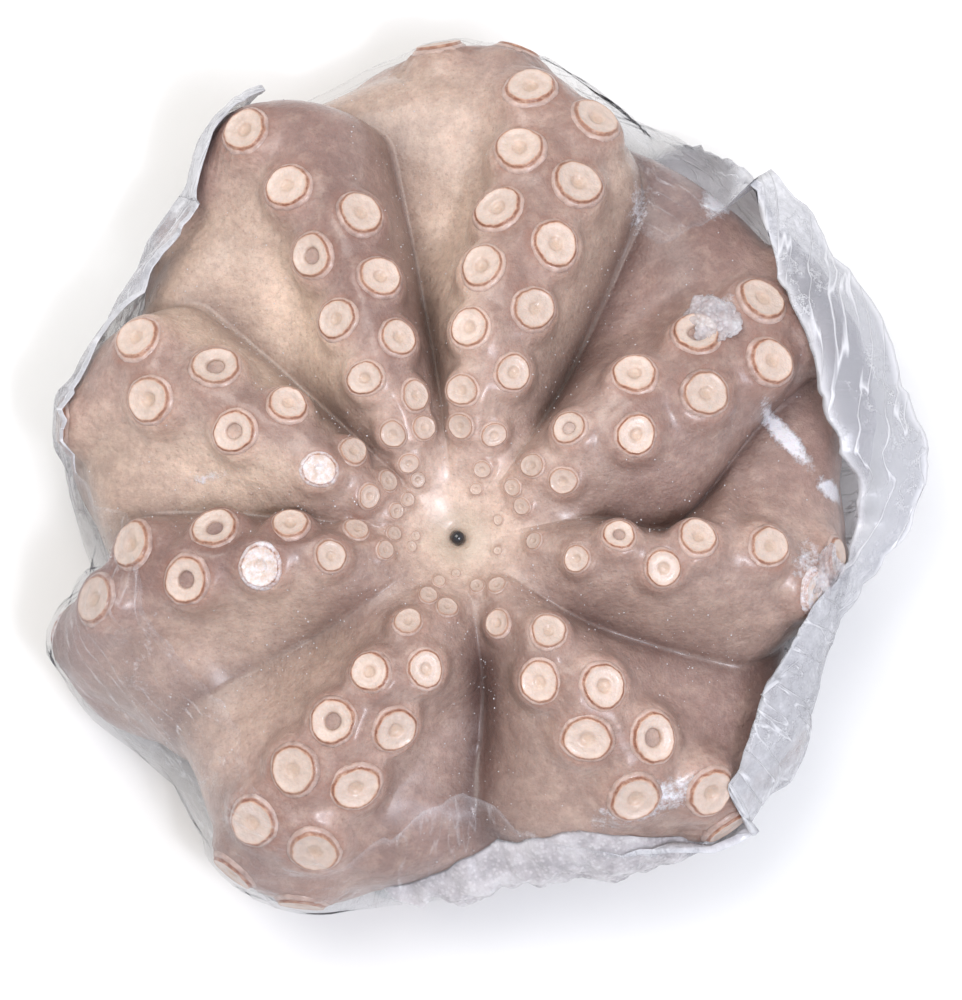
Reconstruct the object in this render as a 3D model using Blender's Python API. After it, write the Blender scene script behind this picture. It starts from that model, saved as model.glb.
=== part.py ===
"""A whole octopus, frozen like an open flower: the mouth is up, and eight arms spread over the rim and under.

A clear wrap holds it from below and ends in an uneven lip near the rim.
Everything is in metres, with +Z up. The origin is on the flat face that the wrap rests on.
"""

import math

import bmesh
import bpy
import numpy as np
from mathutils import Matrix, Vector

# The frozen block: a bun with a round rim, a flat base and a dip at the mouth.
WIDEST_Z = 0.034  # height of the widest ring
TOP_RISE = 0.047  # from the widest ring up to the shoulder, without the arms
BASE_DROP = 0.038  # from the widest ring down, before the base is cut flat
ROUND_TOP = 2.5  # exponents of the section's two curves: 2 is an ellipse, more is squarer
ROUND_BASE = 3.2
MEAN_REACH = 0.130
MOUTH_Y = -0.022
MOUTH_DIP = 0.016
MOUTH_SPREAD = 0.030
FLESH_FLOOR = 0.0013

# Arms, anticlockwise from the right. Bearings are in degrees: near the mouth, at the shoulder,
# and the turn over the rim.
ARMS = (
    dict(near=-12, far=-16, hook=5, reach=0.115),
    dict(near=32, far=25, hook=5, reach=0.122),
    dict(near=81, far=73, hook=22, reach=0.134),
    dict(near=117, far=113, hook=24, reach=0.117),
    dict(near=153, far=162, hook=9, reach=0.117),
    dict(near=191, far=198, hook=9, reach=0.128),
    dict(near=251, far=243, hook=2, reach=0.133),
    dict(near=301, far=304, hook=14, reach=0.128),
)
# The fold on the anticlockwise side of each arm: a crease, or a valley where it is soft.
# One is bowed sideways on the way out.
FOLDS = (
    dict(near=2, far=16, bow=-15, reach=0.127, depth=0.8, soft=0.35),
    dict(near=50, far=57, reach=0.127, depth=1.1, soft=0.30),
    dict(near=97, far=102, reach=0.134, depth=1.1, soft=0.15),
    dict(near=138, far=146, reach=0.117, depth=1.0, soft=0.20),
    dict(near=178, far=188, reach=0.114, depth=0.6, soft=0.45),
    dict(near=221, far=221, reach=0.126, depth=0.8, soft=0.90),
    dict(near=281, far=273, reach=0.121, depth=1.0, soft=0.25),
    dict(near=318, far=328, reach=0.118, depth=0.8, soft=0.45),
)
# The two rows of suckers along each arm. A row is the path from the mouth to its first sucker and the step
# to the next; the steps grow by a share each time. The spread is from the crest out to a row, in radii.
SUCKERS = (
    dict(radius=0.0068, spread=0.80, shift=-0.0015, cw=(0.041, 0.0285), ccw=(0.0255, 0.0270), grow=0.00),
    dict(radius=0.0080, spread=1.15, shift=-0.0010, cw=(0.036, 0.0235), ccw=(0.0450, 0.0237), grow=0.00),
    dict(radius=0.0083, spread=1.25, shift=-0.0010, cw=(0.031, 0.0163), ccw=(0.0405, 0.0150), grow=0.03),
    dict(radius=0.0078, spread=1.15, shift=0.0010, cw=(0.041, 0.0142), ccw=(0.0350, 0.0148), grow=0.05,
         cw_end=0.100),
    dict(radius=0.0078, spread=1.05, shift=0.0005, cw=(0.040, 0.0220), ccw=(0.0465, 0.0270), grow=0.06),
    dict(radius=0.0078, spread=1.00, shift=-0.0005, cw=(0.032, 0.0195), ccw=(0.0250, 0.0160), grow=0.14),
    dict(radius=0.0080, spread=1.10, shift=0.0020, cw=(0.037, 0.0212), ccw=(0.0270, 0.0240), grow=0.00),
    dict(radius=0.0080, spread=0.95, shift=-0.0015, cw=(0.035, 0.0270), ccw=(0.0480, 0.0265), grow=0.00),
)
ARM_COUNT = len(ARMS)
HOOK_START = 0.118  # path from the mouth at which the arms begin to turn
HOOK_LENGTH = 0.045
BOW_PATH = 0.075  # path from the mouth to the middle of a bow, and half its length
BOW_LENGTH = 0.025
SWIRL = 45  # degrees that every arm turns further under the base
ARM_HALF_WIDTH = 0.027
WEB_LEVEL = (0.45, 0.18)  # height of the webs as a share of the crests', and more where they are wide
STEEP_SIDE = 0.8  # below 1, it draws the mesh's columns towards the fold on an arm's steep side
CREST_RISE = 0.007  # how far an arm stands above the bun, and how deep a fold is cut below it
RIM_RISE = 0.004
FOLD_DEPTH = 0.022
HEAD_RADIUS = 0.046  # the head is folded under, and shows as a disc in the base
HEAD_GROOVE = 0.010

# Suckers
SUCKER_SIDES = 7
SUCKER_HEIGHT = 0.45  # all five are shares of the sucker's radius
SUCKER_LIP = 0.30
SUCKER_PIT = 0.22
SUCKER_ROOT = 0.80
SUCKER_WAIST = 0.82
SUCKER_GROWTH = 0.042  # path over which the suckers grow to their full size
SMALLEST_SUCKER = 0.0030
SUCKER_GAP = 1.04  # least distance between two suckers, as a share of their radii together
SUCKER_PATH_END = 0.158

# Mouth and beak
MOUTH_HOLE_RADIUS = 0.0030
BEAK_RADIUS = 0.0023

# Wrap
WRAP_THICKNESS = 0.0010
WRAP_CLEARANCE = 0.0080  # from an arm's crest out to the wrap, which passes over the suckers
WRAP_SAG = 0.35
WRAP_DROP = 0.006  # further down under the rim, where the film meets what the block lies on
LIP_DROP = 0.35  # how far the lip comes down, as a share of its width
# The wrap's edge: bearing, path from the mouth, how far the film bags out there, and the width of its lip.
# The lip is widest on the right, where the film stands off in a loose pleat.
WRAP_EDGE = (
    (-50, 0.148, 0.002, 0.004),
    (-38, 0.143, 0.002, 0.006),
    (-17, 0.144, 0.002, 0.010),
    (-4, 0.146, 0.002, 0.018),
    (3, 0.134, 0.002, 0.020),
    (10, 0.122, 0.001, 0.027),
    (24, 0.120, 0.001, 0.025),
    (42, 0.127, 0.001, 0.018),
    (50, 0.132, 0.003, 0.010),
    (59, 0.124, 0.005, 0.003),
    (78, 0.158, 0.000, 0.003),
    (112, 0.162, 0.000, 0.003),
    (121, 0.146, 0.000, 0.004),
    (147, 0.140, 0.000, 0.003),
    (160, 0.138, 0.000, 0.005),
    (173, 0.140, 0.000, 0.004),
    (184, 0.140, 0.000, 0.002),
    (205, 0.124, 0.000, 0.003),
    (235, 0.120, 0.001, 0.003),
    (256, 0.120, 0.002, 0.004),
    (272, 0.114, 0.005, 0.003),
    (295, 0.122, 0.004, 0.004),
)

# Mesh sizes
COLUMNS_PER_ARM = 8
BODY_RINGS = 24
WRAP_COLUMNS_PER_ARM = 7
WRAP_RINGS = 10


def ease(x):
    """Smooth step from 0 to 1."""
    x = np.clip(x, 0.0, 1.0)
    return x * x * (3.0 - 2.0 * x)


def section(turn):
    """Unit radius and height of the bun's section, at an angle from the mouth's axis."""
    across, up = np.sin(turn), np.cos(turn)
    power = np.where(up > 0, 2 / ROUND_TOP, 2 / ROUND_BASE)
    half = np.where(up > 0, TOP_RISE, BASE_DROP)
    return np.abs(across) ** power, WIDEST_Z + half * np.sign(up) * np.abs(up) ** power


TURNS = np.linspace(0, math.pi, 721)
SECTION_R, SECTION_Z = section(TURNS)
STEPS = np.hypot(np.diff(SECTION_R * MEAN_REACH), np.diff(SECTION_Z))
PATHS = np.concatenate(([0.0], np.cumsum(STEPS)))  # path from the mouth, along the section
RIM_PATH = float(np.interp(math.pi / 2, TURNS, PATHS))
END_PATH = float(PATHS[-1])


def bearing(line, path):
    """Bearing in degrees of an arm's crest or of a fold, at a path from the mouth."""
    straight = line["near"] + (line["far"] - line["near"]) * ease(path / RIM_PATH)
    hooked = line["hook"] * ease((path - HOOK_START) / HOOK_LENGTH)
    hooked += line.get("bow", 0) * np.exp(-(((path - BOW_PATH) / BOW_LENGTH) ** 2))
    return straight + hooked + SWIRL * np.clip((path - RIM_PATH) / (END_PATH - RIM_PATH), 0, None)


def around(bearings, values, at):
    """Value at a bearing, eased round the circle between the given ones."""
    bearings = np.concatenate(([bearings[-1] - 360], bearings, [bearings[0] + 360]))
    values = np.concatenate(([values[-1]], values, [values[0]]))
    at = np.mod(at - bearings[0], 360) + bearings[0]
    i = np.clip(np.searchsorted(bearings, at, side="right") - 1, 0, len(bearings) - 2)
    share = (at - bearings[i]) / (bearings[i + 1] - bearings[i])
    return values[i] + (values[i + 1] - values[i]) * ease(share)


for index, fold in enumerate(FOLDS):
    fold["hook"] = (ARMS[index]["hook"] + ARMS[(index + 1) % ARM_COUNT]["hook"]) / 2
LOBES = [line for pair in zip(ARMS, FOLDS) for line in pair]
LOBE_BEARINGS = np.array([bearing(line, RIM_PATH) for line in LOBES])
LOBE_REACHES = np.array([line["reach"] for line in LOBES])


def bun(theta, path):
    """Points of the bun without its arms, and their distance from its axis. theta is in degrees."""
    turn = np.interp(path, PATHS, TURNS)
    unit_r, z = section(turn)
    outward = ease(path / RIM_PATH)
    under = ease((path - RIM_PATH) / (END_PATH - RIM_PATH))
    reach = around(LOBE_BEARINGS, LOBE_REACHES, theta)
    reach = MEAN_REACH + (reach - MEAN_REACH) * outward * (1 - under)
    radius = unit_r * reach
    angle = np.radians(theta)
    x = radius * np.cos(angle)
    y = MOUTH_Y * (1 - outward) + radius * np.sin(angle)
    z = z - MOUTH_DIP * np.exp(-((path / MOUTH_SPREAD) ** 2))
    return np.stack((x, y, z), -1), radius


def bun_normal(theta, path):
    """Outward normals of the bun, from small steps along and across it."""
    step = 0.0004
    across = bun(theta + 0.4, path)[0] - bun(theta - 0.4, path)[0]
    inner = np.clip(path - step, step, END_PATH - 3 * step)
    along = bun(theta, inner + 2 * step)[0] - bun(theta, inner)[0]
    normal = np.cross(along, across)
    length = np.linalg.norm(normal, axis=-1, keepdims=True)
    axis = np.where(path[..., None] < RIM_PATH, 1.0, -1.0) * np.array((0.0, 0.0, 1.0))
    return np.where(length > 1e-12, normal / np.maximum(length, 1e-12), axis)


def sector(column, path):
    """Where a column of the mesh runs: its bearing, and where it is between its arm's two folds.

    A column counts arms from 0 to 8, from fold to fold, with the crest half way.
    The side is -1 at the clockwise fold, 0 at the crest and 1 at the other fold.
    """
    arm = np.floor(column).astype(int) % ARM_COUNT
    side = 2 * (column - np.floor(column)) - 1
    side = np.where(side < 0, -(np.abs(side) ** STEEP_SIDE), side)
    crests = np.stack([bearing(line, path) for line in ARMS])
    folds = np.stack([bearing(line, path) for line in FOLDS])
    here = np.arange(len(path))
    crest = crests[arm, here]
    after = folds[arm, here]
    before = folds[arm - 1, here] - np.where(arm == 0, 360, 0)
    theta = np.where(side < 0, crest + side * (crest - before), crest + side * (after - crest))
    half_width = np.where(side < 0, crest - before, after - crest)
    return arm, side, theta, half_width


def softness(arm, side, path):
    """Share by which the fold beside a point is a soft valley. Near the mouth they all are."""
    soft = np.array([fold["soft"] for fold in FOLDS])
    return np.maximum(np.where(side < 0, soft[arm - 1], soft[arm]), 1 - ease((path - 0.025) / 0.035))


def arch(side, width, soft):
    """Height across an arm, 1 at its crest and 0 in the folds: steep clockwise, a web on the other side."""
    q = np.abs(side)
    steep = (1 - q**2.4) ** 0.75
    steep += soft * (0.5 + 0.5 * np.cos(math.pi * q) - steep)
    rounded = np.cos(math.pi / 2 * np.clip(q * width / ARM_HALF_WIDTH, 0, 1)) ** 2
    rounded *= (1 - q**2) ** (0.3 + 0.7 * soft)
    level = WEB_LEVEL[0] * ease((width - 0.018) / 0.030) + WEB_LEVEL[1] * ease((width - 0.040) / 0.020)
    web = level * (1 - q**1.6)
    wide = ease((width - 0.020) / 0.020)
    gentle = wide * (web + (1 - web) * rounded) + (1 - wide) * (1 - q**2.2) ** 0.85
    return np.where(side < 0, steep, gentle)


def crest_height(path):
    rise = CREST_RISE * ease((path - 0.012) / 0.045) + RIM_RISE * ease((path - 0.10) / 0.05)
    return rise * (1 - 0.75 * ease((path - RIM_PATH - 0.03) / 0.07))


def fold_depth(path):
    """Deep on top, shallow where the web runs over the rim, and a groove again below, up to the head."""
    top = ease((path - 0.016) / 0.052) * (1 - 0.85 * ease((path - 0.090) / 0.055))
    below = 0.35 * ease((path - RIM_PATH) / 0.03) * (1 - ease((path - END_PATH + 0.065) / 0.02))
    return FOLD_DEPTH * (top + below)


def skin(column, path):
    """Points of the octopus's skin, without its suckers."""
    arm, side, theta, half_width = sector(column, path)
    points, radius = bun(theta, path)
    height = arch(side, radius * np.radians(half_width), softness(arm, side, path))
    depths = np.array([fold["depth"] for fold in FOLDS])
    floor = -fold_depth(path) * np.where(side < 0, depths[arm - 1], depths[arm])
    relief = floor + (crest_height(path) - floor) * height
    below = path > RIM_PATH
    relief -= HEAD_GROOVE * np.exp(-(((radius - HEAD_RADIUS) / 0.006) ** 2)) * below
    points = points + bun_normal(theta, path) * relief[:, None]
    points[:, 2] = np.maximum(points[:, 2], FLESH_FLOOR)
    return points


def wrap_point(column, path, slack, out):
    """Points of the wrap's inner face: taut over the crests and the suckers, sagging over the folds."""
    arm, side, theta, half_width = sector(column, path)
    points, radius = bun(theta, path)
    sag = WRAP_SAG * (crest_height(path) + fold_depth(path)) * ease((np.abs(side) - 0.6) / 0.4)
    offset = crest_height(path) + WRAP_CLEARANCE - sag + slack * ease((RIM_PATH + 0.04 - path) / 0.04)
    points = points + bun_normal(theta, path) * (offset + WRAP_THICKNESS)[:, None]
    angle = np.radians(theta)
    drop = LIP_DROP * out + WRAP_DROP * ease((path - RIM_PATH) / 0.04)
    points += np.stack((out * np.cos(angle), out * np.sin(angle), -drop), -1)
    points[:, 2] = np.maximum(points[:, 2], WRAP_THICKNESS)
    return points


def material(name, colour, roughness, alpha=1.0):
    made = bpy.data.materials.new(name)
    made.use_nodes = True
    shader = made.node_tree.nodes["Principled BSDF"]
    shader.inputs["Base Color"].default_value = (*colour, 1.0)
    shader.inputs["Roughness"].default_value = roughness
    shader.inputs["Metallic"].default_value = 0.0
    shader.inputs["Alpha"].default_value = alpha
    return made


def add_object(name, bm, finish=None, smooth=True):
    """Makes one object of a bmesh, at the origin, with its place in its mesh."""
    mesh = bpy.data.meshes.new(name)
    bm.to_mesh(mesh)
    bm.free()
    if smooth:
        mesh.shade_smooth()
    if finish:
        mesh.materials.append(finish)
    made = bpy.data.objects.new(name, mesh)
    bpy.context.scene.collection.objects.link(made)
    return made


def hide_tool(tool):
    """Marks an object that only shapes another one."""
    tool.hide_render = True
    tool.display_type = "WIRE"


def combine(target, tool, operation):
    cut = target.modifiers.new(tool.name, "BOOLEAN")
    cut.operation = operation
    cut.solver = "EXACT"
    cut.object = tool
    hide_tool(tool)


def sphere_grid(columns, rings):
    """A sphere, with each vertex's column, in arms, and its share of the way down from the mouth."""
    bm = bmesh.new()
    bmesh.ops.create_uvsphere(bm, u_segments=columns, v_segments=rings, radius=1.0)
    at = np.array([v.co for v in bm.verts])
    share = np.arccos(np.clip(at[:, 2], -1, 1)) / math.pi
    column = np.mod(np.degrees(np.arctan2(at[:, 1], at[:, 0])), 360) / 360 * ARM_COUNT
    column = np.mod(np.round(column * columns) / columns, ARM_COUNT)
    return bm, column, share


def make_body():
    """Head, web and arms, turned out of one sphere. Its rings lie closer together on top than below."""
    bm, column, share = sphere_grid(COLUMNS_PER_ARM * ARM_COUNT, BODY_RINGS)
    points = skin(column, END_PATH * (0.85 * share + 0.15 * share**3))
    for vertex, point in zip(bm.verts, points):
        vertex.co = point
    return add_object("octopus", bm, material("skin", (0.48, 0.31, 0.26), 0.4))


def sucker_radius(row, path):
    """Suckers grow away from the mouth, and get smaller again under the rim."""
    grown = 1 - np.exp(-((path / SUCKER_GROWTH) ** 1.3))
    return row["radius"] * grown * (1 - 0.65 * ease((path - 0.14) / 0.14))


def row_paths(first, step, grow, end):
    """Paths from the mouth to a row's suckers. The small ones next to the mouth lie closer together."""
    paths = [path for path in (first - 0.60 * step, first - 0.95 * step) if path > 0.006]
    count = 0
    path = first
    while path < end:
        paths.append(path)
        count += 1
        path = first + step * count * (1 + grow * count)
    return paths


def sucker_places():
    """Every sucker's column, path and radius. One that would touch a larger one is left out."""
    places = []
    for index, row in enumerate(SUCKERS):
        ends = (row.get("cw_end", SUCKER_PATH_END), SUCKER_PATH_END)
        for hand, line, end in ((-1, row["cw"], ends[0]), (1, row["ccw"], ends[1])):
            for path in row_paths(*line, row["grow"], end):
                radius = float(sucker_radius(row, path))
                column = column_at(index, hand * row["spread"] * radius + row["shift"], path)
                point = skin(np.array([column]), np.array([path]))[0]
                places.append((radius, column, path, point))
    kept = []
    for place in sorted(places, key=lambda place: -place[0]):
        gaps = (np.linalg.norm(place[3] - other[3]) - SUCKER_GAP * (place[0] + other[0]) for other in kept)
        if place[0] > SMALLEST_SUCKER and all(gap > 0 for gap in gaps):
            kept.append(place)
    return [(column, path, radius) for radius, column, path, _ in kept]


def column_at(index, offset, path):
    """The column that lies a given distance from an arm's crest, measured across it."""
    probe = np.array([index + 0.5 + math.copysign(0.25, offset)])
    _, _, theta, half_width = sector(probe, np.array([path]))
    _, distance = bun(theta, np.array([path]))
    side = float(offset / (distance[0] * math.radians(half_width[0])))
    side = max(-0.8, min(0.8, side))
    return index + 0.5 + 0.5 * (-(abs(side) ** (1 / STEEP_SIDE)) if side < 0 else side)


def place_on_skin(column, path):
    """Stands an upright shape on the skin, leaning half way from the arm's slope to the bun's."""
    step = 0.0015
    columns = np.array([column, column + 0.02, column - 0.02, column, column])
    paths = np.array([path, path, path, path + step, path - step])
    here, left, right, out, back = (Vector(p) for p in skin(columns, paths))
    slope = (out - back).cross(left - right).normalized()
    theta = sector(columns[:1], paths[:1])[2]
    smooth = Vector(bun_normal(theta, paths[:1])[0])
    turn = Vector((0, 0, 1)).rotation_difference((slope + smooth).normalized())
    return Matrix.LocRotScale(here, turn, None)


def make_suckers():
    """One mesh of all the suckers, each a cup that widens to its rim and dips in the middle."""
    bm = bmesh.new()
    for column, path, radius in sucker_places():
        cup = bmesh.ops.create_cone(
            bm,
            cap_ends=True,
            segments=SUCKER_SIDES,
            radius1=SUCKER_WAIST * radius,
            radius2=radius,
            depth=(SUCKER_ROOT + SUCKER_HEIGHT) * radius,
        )
        lift = Matrix.Translation((0, 0, (SUCKER_HEIGHT - SUCKER_ROOT) / 2 * radius))
        caps = [face for face in cup["verts"][0].link_faces if len(face.verts) > 4]
        caps += [face for face in cup["verts"][-1].link_faces if len(face.verts) > 4]
        rim = max(caps, key=lambda face: face.normal.z)
        pit = bmesh.ops.inset_individual(bm, faces=[rim], thickness=SUCKER_LIP * radius, depth=0.0)
        floor = bmesh.ops.poke(bm, faces=[rim])["verts"]
        bmesh.ops.translate(bm, verts=floor, vec=(0, 0, -SUCKER_PIT * radius))
        inner = {vertex for face in pit["faces"] for vertex in face.verts}
        verts = list(inner.union(cup["verts"], floor))
        bmesh.ops.transform(bm, matrix=place_on_skin(column, path) @ lift, verts=verts)
    bmesh.ops.recalc_face_normals(bm, faces=bm.faces)
    return add_object("suckers", bm, smooth=False)


def mouth_centre():
    tip = skin(np.array([0.0]), np.array([0.0]))[0]
    return Vector(tip) + Vector((0, 0, -0.0004))


def make_mouth_hole():
    bm = bmesh.new()
    bmesh.ops.create_icosphere(bm, subdivisions=2, radius=MOUTH_HOLE_RADIUS)
    bmesh.ops.translate(bm, verts=bm.verts, vec=mouth_centre())
    return add_object("mouth_hole", bm, smooth=False)


def make_beak():
    """The tip of the beak, in the mouth."""
    bm = bmesh.new()
    bmesh.ops.create_icosphere(bm, subdivisions=2, radius=BEAK_RADIUS)
    bmesh.ops.translate(bm, verts=bm.verts, vec=mouth_centre())
    return add_object("beak", bm, material("beak", (0.01, 0.01, 0.012), 0.2))


def make_wrap():
    """The clear wrap: a bowl of film from the base up to an uneven edge, with a lip turned out."""
    bm, column, share = sphere_grid(WRAP_COLUMNS_PER_ARM * ARM_COUNT, WRAP_RINGS + 3)
    edge_share = 2 / (WRAP_RINGS + 3)  # the ring that becomes the edge; the one above it becomes the lip
    _, _, theta, _ = sector(column, np.full(len(column), RIM_PATH))
    bearings, *values = np.array(WRAP_EDGE).T
    edge, slack, lip = (around(bearings, value, theta) for value in values)
    down = np.clip((share - edge_share) / (1 - edge_share), 0, 1)
    out = np.where(share < edge_share - 1e-4, lip, 0.0)
    points = wrap_point(column, edge + (END_PATH - edge) * down, slack, out)
    pole = [v for v, s in zip(bm.verts, share) if s < 1e-4]
    for vertex, point in zip(bm.verts, points):
        vertex.co = point
    bmesh.ops.delete(bm, geom=pole, context="VERTS")
    made = add_object("wrap", bm, material("film", (0.82, 0.84, 0.88), 0.2, 0.35))
    shell = made.modifiers.new("thickness", "SOLIDIFY")
    shell.thickness = WRAP_THICKNESS
    shell.offset = 1.0
    return made


def main():
    for old in list(bpy.data.objects):
        bpy.data.objects.remove(old)
    body = make_body()
    combine(body, make_suckers(), "UNION")
    combine(body, make_mouth_hole(), "DIFFERENCE")
    make_beak()
    make_wrap()


main()
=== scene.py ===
import math

import bmesh
import bpy
import numpy as np
from mathutils import Matrix, Vector, noise


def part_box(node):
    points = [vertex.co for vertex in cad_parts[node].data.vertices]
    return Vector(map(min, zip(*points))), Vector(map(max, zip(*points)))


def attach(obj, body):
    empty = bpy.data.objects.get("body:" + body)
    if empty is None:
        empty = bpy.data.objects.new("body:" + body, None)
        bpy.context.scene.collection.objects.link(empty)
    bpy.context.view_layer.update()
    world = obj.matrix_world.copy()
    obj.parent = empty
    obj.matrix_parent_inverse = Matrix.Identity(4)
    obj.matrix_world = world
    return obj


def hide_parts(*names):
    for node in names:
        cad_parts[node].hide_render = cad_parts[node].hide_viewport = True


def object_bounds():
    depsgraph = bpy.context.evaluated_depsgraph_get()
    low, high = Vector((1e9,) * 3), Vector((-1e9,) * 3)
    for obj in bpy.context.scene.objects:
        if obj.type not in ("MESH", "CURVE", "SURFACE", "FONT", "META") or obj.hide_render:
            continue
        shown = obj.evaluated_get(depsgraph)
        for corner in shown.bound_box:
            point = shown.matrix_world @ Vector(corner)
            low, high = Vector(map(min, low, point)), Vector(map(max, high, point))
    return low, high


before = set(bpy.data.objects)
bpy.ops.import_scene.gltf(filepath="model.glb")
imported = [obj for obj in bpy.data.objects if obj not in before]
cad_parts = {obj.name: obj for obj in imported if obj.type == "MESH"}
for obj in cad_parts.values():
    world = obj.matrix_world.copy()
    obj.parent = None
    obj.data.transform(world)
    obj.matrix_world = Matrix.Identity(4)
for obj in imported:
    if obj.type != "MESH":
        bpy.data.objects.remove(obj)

# A whole octopus, frozen like an open flower, in its clear film. The flesh repeats the form of the packed
# solid and adds what the solid leaves out: mounds under the suckers, wrinkles, ice and thin film.

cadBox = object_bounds()
mouth = (Vector(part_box("beak")[0]) + Vector(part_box("beak")[1])) / 2
dice = np.random.default_rng(8)

# The bun that the arms stand on, in metres
block = dict(
    widestZ=0.034,
    topRise=0.047,
    baseDrop=0.038,
    roundTop=2.5,  # 2 is an ellipse, more is squarer
    roundBase=3.2,
    meanReach=0.130,
    mouthY=mouth.y,
    mouthDip=0.016,
    mouthSpread=0.030,
    floor=0.0013,
    hookStart=0.118,
    hookLength=0.045,
    bowPath=0.075,
    bowLength=0.025,
    swirl=45,
    armHalfWidth=0.027,
    webLevel=(0.45, 0.18),
    steepSide=0.8,
    crestRise=0.007,
    rimRise=0.004,
    foldDepth=0.022,
    headRadius=0.046,
    headGroove=0.010,
)

# Arms anticlockwise from the right: bearings near the mouth and at the shoulder, turn over the rim, reach.
# The colours are shares of the pigments below: how pale the crest and the web after it are, and how brown the
# crest, the steep flank before it and the web are; inner is the brown near the mouth.
arms = (
    dict(near=-12, far=-16, hook=5, reach=0.115, pale=0.45, brown=0.55, flank=0.35, inner=0.45,
         webPale=0.35, webBrown=0.30),
    dict(near=32, far=25, hook=5, reach=0.122, pale=0.35, brown=0.68, flank=0.50, inner=0.25,
         webPale=0.25, webBrown=0.42),
    dict(near=81, far=73, hook=22, reach=0.134, pale=0.45, brown=0.65, flank=0.15, inner=0.20,
         webPale=0.85, webBrown=0.05),
    dict(near=117, far=113, hook=24, reach=0.117, pale=0.25, brown=0.75, flank=0.40, inner=0.20,
         webPale=0.95, webBrown=0.02),
    dict(near=153, far=162, hook=9, reach=0.117, pale=0.45, brown=0.60, flank=0.00, inner=0.50,
         webPale=0.90, webBrown=0.08),
    dict(near=191, far=198, hook=9, reach=0.128, pale=0.25, brown=0.85, flank=0.45, inner=0.55,
         webPale=0.70, webBrown=0.25),
    dict(near=251, far=243, hook=2, reach=0.133, pale=0.40, brown=0.65, flank=0.25, inner=0.55,
         webPale=0.40, webBrown=0.35),
    dict(near=301, far=304, hook=14, reach=0.128, pale=0.50, brown=0.60, flank=0.40, inner=0.45,
         webPale=0.30, webBrown=0.35),
)
# The fold on the anticlockwise side of each arm: a crease, or a valley where it is soft; one is bowed
# sideways. dark is how strong the painted shade and the dark brown in it are.
folds = (
    dict(near=2, far=16, bow=-15, reach=0.127, depth=0.8, soft=0.35, dark=0.75),
    dict(near=50, far=57, reach=0.127, depth=1.1, soft=0.30, dark=1.05),
    dict(near=97, far=102, reach=0.134, depth=1.1, soft=0.15, dark=0.8),
    dict(near=138, far=146, reach=0.117, depth=1.0, soft=0.20, dark=0.85),
    dict(near=178, far=188, reach=0.114, depth=0.6, soft=0.45, dark=0.7),
    dict(near=221, far=221, reach=0.126, depth=0.8, soft=0.90, dark=0.8),
    dict(near=281, far=273, reach=0.121, depth=1.0, soft=0.25, dark=1.5),
    dict(near=318, far=328, reach=0.118, depth=0.8, soft=0.45, dark=0.9),
)
# Two rows of suckers on each arm: the path from the mouth to a row's first sucker, and the step to the next.
# open, frosted and iced count an arm's suckers outward from the mouth.
suckerRows = (
    dict(radius=0.0068, spread=0.80, shift=-0.0015, cw=(0.041, 0.0285), ccw=(0.0255, 0.0270), grow=0.00,
         open=(3,), frosted=(7,), iced=(7,)),
    dict(radius=0.0080, spread=1.15, shift=-0.0010, cw=(0.036, 0.0235), ccw=(0.0450, 0.0237), grow=0.00,
         open=(5, 9), frosted=(), iced=(9,)),
    dict(radius=0.0083, spread=1.25, shift=-0.0010, cw=(0.031, 0.0163), ccw=(0.0405, 0.0150), grow=0.03,
         open=(), frosted=(), iced=()),
    dict(radius=0.0078, spread=1.15, shift=0.0010, cw=(0.041, 0.0142), ccw=(0.0350, 0.0148), grow=0.05,
         cwEnd=0.100, open=(9,), frosted=(), iced=()),
    dict(radius=0.0078, spread=1.05, shift=0.0005, cw=(0.040, 0.0220), ccw=(0.0465, 0.0270), grow=0.06,
         open=(7, 8), frosted=(5,), iced=()),
    dict(radius=0.0078, spread=1.00, shift=-0.0005, cw=(0.032, 0.0195), ccw=(0.0250, 0.0160), grow=0.14,
         open=(8, 9), frosted=(7, 12), iced=()),
    dict(radius=0.0080, spread=1.10, shift=0.0020, cw=(0.037, 0.0212), ccw=(0.0270, 0.0240), grow=0.00,
         open=(8,), frosted=(), iced=()),
    dict(radius=0.0080, spread=0.95, shift=-0.0015, cw=(0.035, 0.0270), ccw=(0.0480, 0.0265), grow=0.00,
         open=(7,), frosted=(), iced=()),
)
suckerForm = dict(growth=0.042, smallest=0.0012, gap=1.04, pathEnd=0.158)


def ease(x):
    x = np.clip(x, 0.0, 1.0)
    return x * x * (3.0 - 2.0 * x)


def bell(x):
    return np.exp(-(x**2))


def section(turn):
    # unit radius and height of the bun's section, at an angle from the mouth's axis
    across, up = np.sin(turn), np.cos(turn)
    power = np.where(up > 0, 2 / block["roundTop"], 2 / block["roundBase"])
    half = np.where(up > 0, block["topRise"], block["baseDrop"])
    return np.abs(across) ** power, block["widestZ"] + half * np.sign(up) * np.abs(up) ** power


turns = np.linspace(0, math.pi, 721)
sectionRadii, sectionHeights = section(turns)
paths = np.hypot(np.diff(sectionRadii * block["meanReach"]), np.diff(sectionHeights))
paths = np.concatenate(([0.0], np.cumsum(paths)))  # path from the mouth, along the section
rimPath = float(np.interp(math.pi / 2, turns, paths))
endPath = float(paths[-1])


def bearing(line, path):
    # degrees of a crest or a fold, at a path from the mouth
    straight = line["near"] + (line["far"] - line["near"]) * ease(path / rimPath)
    hooked = line["hook"] * ease((path - block["hookStart"]) / block["hookLength"])
    hooked += line.get("bow", 0) * bell((path - block["bowPath"]) / block["bowLength"])
    return straight + hooked + block["swirl"] * np.clip((path - rimPath) / (endPath - rimPath), 0, None)


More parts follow.
